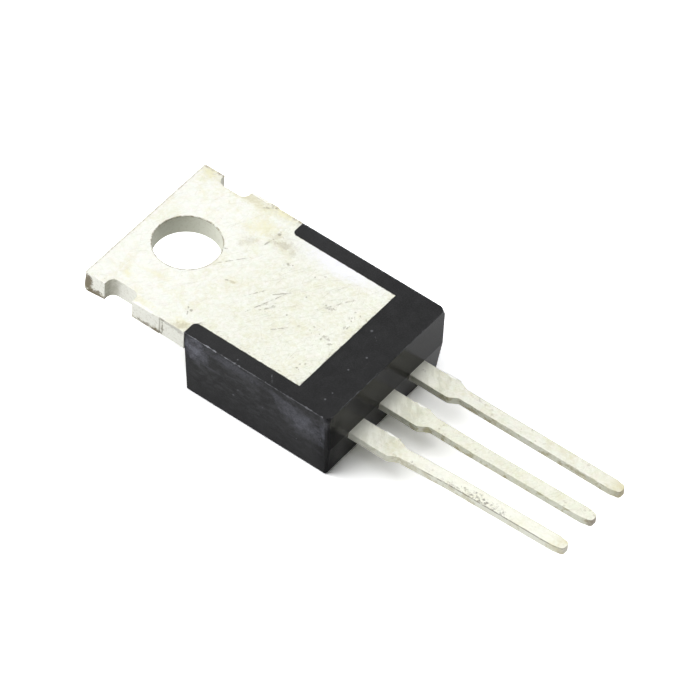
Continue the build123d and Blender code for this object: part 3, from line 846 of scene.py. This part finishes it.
def bodyMaterial(values):
    material, tree, shader = newMaterial("moulded epoxy")
    covers = values["covers"]
    coords = useGroup(tree, faceCoordinates)
    place, plane = coords["Position"], coords["Plane"]
    # the shine can't come out of a node group, so these places are the material's own
    x, y, z = split(tree, scaled(tree, addNode(tree, "TexCoord").outputs["Object"], 1 / mm))
    up = split(tree, addNode(tree, "NewGeometry").outputs["True Normal"])["Z"]
    onTop = ramp(tree, up, 0.7, 0.9)
    notTop = minus(tree, 1.0, onTop)
    onNearSide = product(tree, notTop, ramp(tree, y, 0.515 - tabHalf, 0.415 - tabHalf))
    onEnd = product(tree, ramp(tree, x, bodyHigh.x - 0.4, bodyHigh.x - 0.25), notTop)
    off = minus(tree, tabHalf, calc(tree, "ABSOLUTE", y))
    inside = minus(tree, bodyHigh.x, x)

    grain = noise(tree, place, 14.0, 3.0, 0.6)
    cloud = noise(tree, place, 1.1, 4.0, 0.65, 0.4)
    cloudy = product(tree, ramp(tree, cloud, 0.35, 0.7), 0.4)
    grey = calc(tree, "MULTIPLY_ADD", ramp(tree, grain, 0.36, 0.66), 0.6, cloudy)
    color = mixColor(tree, grey, shade(*values["black"]), shade(*values["grey"]))
    filler = strongest(tree, grains(tree, place, 0.24, 0.04, 0.3),
                       grains(tree, place, 0.9, 0.06, 0.35))
    color = tint(tree, color, filler, *covers["filler"])

    rough = noise(tree, place, 2.6, 5.0, 0.68, 0.3)
    canvas = vectorCalc(tree, "SUBTRACT", plane, (0.0, sidePlane, 0.0))
    hazy, canvas = takePainted(tree, paintBlots(tree, canvas, rough, values["hazes"], 2.0, 0.1))
    haze = product(tree, hazy, onNearSide, ramp(tree, grain, 0.34, 0.62, 0.6, 1.25))
    color = tint(tree, color, haze, *covers["haze"])
    sideSpots, canvas = takePainted(tree, paintDots(tree, canvas, rough, values["sideSpecks"]))
    canvas = vectorCalc(tree, "ADD", canvas, (0.0, sidePlane, 0.0))
    canvas = paintDots(tree, canvas, rough, values["specks"])
    topSpots, _ = takePainted(tree, paintStrokes(tree, canvas, rough, values["lines"]))
    stretched = vectorCalc(tree, "MULTIPLY", place, (0.5, 1.0, 1.0))
    dust = product(tree, onNearSide, ramp(tree, noise(tree, stretched, 3.6, 6.0, 0.76), 0.43, 0.68),
                   ramp(tree, z, -3.9, -1.6, 0.4, 1.0))
    color = tint(tree, color, dust, *covers["dust"])
    spots = strongest(tree, product(tree, topSpots, onTop), product(tree, sideSpots, onNearSide))
    color = tint(tree, color, spots, *covers["spots"])

    # the long edges of the back face, the edge over the leads and the upright corners are rubbed
    def rubbedLine(distance, width, beads, gaps):
        return useGroup(tree, rubbedEdge, {"Position": place, "Distance": distance,
                                           "Width": width, "Beads": beads, "Gaps": gaps})["Mask"]

    longEdge = rubbedLine(minus(tree, off, z), 0.03, 0.09, 0.49)
    endEdge = rubbedLine(calc(tree, "ABSOLUTE", minus(tree, minus(
        tree, inside, values["backDraft"]), z)), 0.04, 0.06, 0.54)
    toCorner = calc(tree, "ADD", off, inside)
    corner = rubbedLine(toCorner, 0.22, 0.0, 0.42)
    rubbed = strongest(tree, product(tree, longEdge, ramp(tree, x, 5.5, 8.0, 1.0, 0.45)),
                       product(tree, endEdge, 0.25),
                       product(tree, corner, ramp(tree, z, -1.9, -0.9), 0.16))
    color = tint(tree, color, rubbed, *covers["rubbed"])
    wear = wearEdges(tree, place, values["edgeRadius"], 0.9, 2.6)
    roughness = mixValue(tree, onEnd, values["roughness"], values["endRoughness"])
    roughness = calc(tree, "MULTIPLY_ADD", minus(tree, grain, 0.5), 0.12, roughness)
    roughness = calc(tree, "MULTIPLY_ADD", strongest(tree, rubbed, haze), 0.3, roughness, clamp=True)
    height = calc(tree, "MULTIPLY_ADD", rubbed, 0.5, grain)

    # the strips beside the metal shine a little more, and the end's near corner hardly shines and is
    # painted darker as painted shade
    strips = product(tree, onTop, ramp(tree, calc(tree, "ABSOLUTE", y), 3.7, 4.1), ramp(
        tree, x, 10.5, 6.5))
    shine = mixValue(tree, strips, values["shine"], values["stripShine"])
    shine = mixValue(tree, onNearSide, mixValue(tree, onEnd, shine, values["endShine"]),
                     values["sideShine"])
    upright = product(tree, ramp(tree, toCorner, 1.5, 0.45), ramp(tree, z, -0.3, -1.0), ramp(
        tree, y, 0.0, -2.0))
    # painted shade: the near corner of the end is painted almost black
    color = tint(tree, color, product(tree, upright, onEnd), *covers["corner"])
    plug(tree, mixValue(tree, upright, shine, values["cornerShine"]),
         shader.inputs["Specular IOR Level"])
    finishSurface(tree, shader, color, roughness, height, wear["Normal"], values["bumpDepth"])
    return material


dress("moulded_body", bodyMaterial(bodyFinish))
print("body dressed")


# The pieces inside the plastic

siliconFinish = {"bright": (84, 88, 100), "dull": (52, 54, 60), "roughness": 0.18,
                 "metal": 0.0, "scale": 3.0}
solderFinish = {"bright": (170, 172, 176), "dull": (128, 130, 136), "roughness": 0.42,
                "metal": 1.0, "scale": 5.0}
wireFinish = {"bright": (216, 217, 222), "dull": (182, 184, 190), "roughness": 0.34,
              "metal": 1.0, "scale": 8.0}


def innerMaterial(name, values):
    material, tree, shader = newMaterial(name)
    place = useGroup(tree, faceCoordinates)["Position"]
    cloud = noise(tree, place, values["scale"], 4.0, 0.6, 0.3)
    grain = noise(tree, place, values["scale"] * 5, 2.0)
    color = mixColor(tree, ramp(tree, cloud, 0.35, 0.65), shade(*values["bright"]),
                     shade(*values["dull"]))
    wear = wearEdges(tree, place, 0.02, 0.6, 6.0)
    color = tint(tree, color, wear["Mask"], 0.3, (235, 235, 238))
    rough = calc(tree, "MULTIPLY_ADD", grain, 0.12, values["roughness"] - 0.06)
    finishSurface(tree, shader, color, rough, grain, wear["Normal"], 0.004)
    shader.inputs["Metallic"].default_value = values["metal"]
    return material


dress("silicon_die", innerMaterial("silicon", siliconFinish))
dress("die_attach_solder", innerMaterial("solder", solderFinish))
wireAluminium = innerMaterial("aluminium wire", wireFinish)
for wireName in ("bond_wire_ground", "bond_wire_output", "bond_wire_input"):
    dress(wireName, wireAluminium)
print("inner pieces dressed")


# Table, light and camera

table = {"size": 3.0, "tone": 0.9, "cameraGain": 2.05}
# the white surroundings that light the part: azimuth, elevation, inner and outer reach in
# degrees, and level; the rest is dark
light = {"softBoxes": [(217.0, 27.0, 19.0, 35.0, 2.95), (93.0, 42.0, 8.0, 23.0, 3.7),
                       (194.0, 70.0, 22.0, 38.0, 2.15)],
         "rest": 0.01, "tone": (0.985, 0.99, 1.0, 1.0)}
view = {"aim": (9.8586, 1.1066, -2.1435), "azimuth": 35.081, "elevation": 48.583,
        "roll": 3.613, "distance": 315.39, "lens": 316.82, "sensor": 36.0}


def buildTable(values):
    half = values["size"] / 2
    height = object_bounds()[0][2]
    mesh = bpy.data.meshes.new("table")
    mesh.from_pydata([(-half, -half, height), (half, -half, height), (half, half, height),
                      (-half, half, height)], [], [(0, 1, 2, 3)])
    floor = bpy.data.objects.new("table", mesh)
    bpy.context.scene.collection.objects.link(floor)
    material = bpy.data.materials.new("white table")
    tree = emptyTree(material)
    # the camera sees the table overexposed, as a product shot has it
    seen = addNode(tree, "LightPath").outputs["Is Camera Ray"]
    gain = mixValue(tree, seen, 1.0, values["cameraGain"])
    tone = product(tree, gain, values["tone"])
    paint = addNode(tree, "CombineColor", {"Red": tone, "Green": tone, "Blue": tone})
    cover = addNode(tree, "BsdfDiffuse", {"Color": paint.outputs[0]})
    tree.links.new(cover.outputs[0], addNode(tree, "OutputMaterial").inputs["Surface"])
    mesh.materials.append(material)
    floor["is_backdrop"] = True


def buildLight(values):
    world = bpy.data.worlds.new("studio")
    bpy.context.scene.world = world
    tree = emptyTree(world)
    direction = addNode(tree, "TexCoord").outputs["Generated"]

    level = values["rest"]
    for azimuth, elevation, inner, outer, strength in values["softBoxes"]:
        turn, tilt = math.radians(azimuth), math.radians(elevation)
        way = (math.cos(turn) * math.cos(tilt), math.sin(turn) * math.cos(tilt), math.sin(tilt))
        facing = vectorCalc(tree, "DOT_PRODUCT", direction, way, out="Value")
        level = calc(tree, "ADD", level, ramp(tree, facing, math.cos(math.radians(outer)),
                                              math.cos(math.radians(inner)), 0.0, strength))
    sky = addNode(tree, "Background", {"Color": values["tone"], "Strength": level})
    white = addNode(tree, "Background", {"Color": (1.0, 1.0, 1.0, 1.0), "Strength": 1.0})
    seen = addNode(tree, "LightPath").outputs["Is Camera Ray"]
    both = tree.nodes.new("ShaderNodeMixShader")
    tree.links.new(seen, both.inputs[0])
    tree.links.new(sky.outputs[0], both.inputs[1])
    tree.links.new(white.outputs[0], both.inputs[2])
    tree.links.new(both.outputs[0], addNode(tree, "OutputWorld").inputs["Surface"])


def buildCamera(values):
    turn, tilt, roll = [math.radians(values[name]) for name in ("azimuth", "elevation", "roll")]
    across = math.cos(tilt)
    back = Vector((math.sin(turn) * across, -math.cos(turn) * across, math.sin(tilt)))
    level = Vector((math.cos(turn), math.sin(turn), 0.0))
    right = level * math.cos(roll) + back.cross(level) * math.sin(roll)
    up = back.cross(right)
    lens = bpy.data.cameras.new("camera")
    lens.lens, lens.sensor_width = values["lens"], values["sensor"]
    lens.clip_start, lens.clip_end = 0.01, 10.0
    camera = bpy.data.objects.new("camera", lens)
    turned = Matrix((right, up, back)).transposed().to_4x4()
    place = (Vector(values["aim"]) + back * values["distance"]) * mm
    camera.matrix_world = Matrix.Translation(place) @ turned
    bpy.context.scene.collection.objects.link(camera)
    bpy.context.scene.camera = camera


buildTable(table)
buildLight(light)
buildCamera(view)
bpy.context.scene.view_settings.view_transform = "Standard"
print("table, light and camera ready")
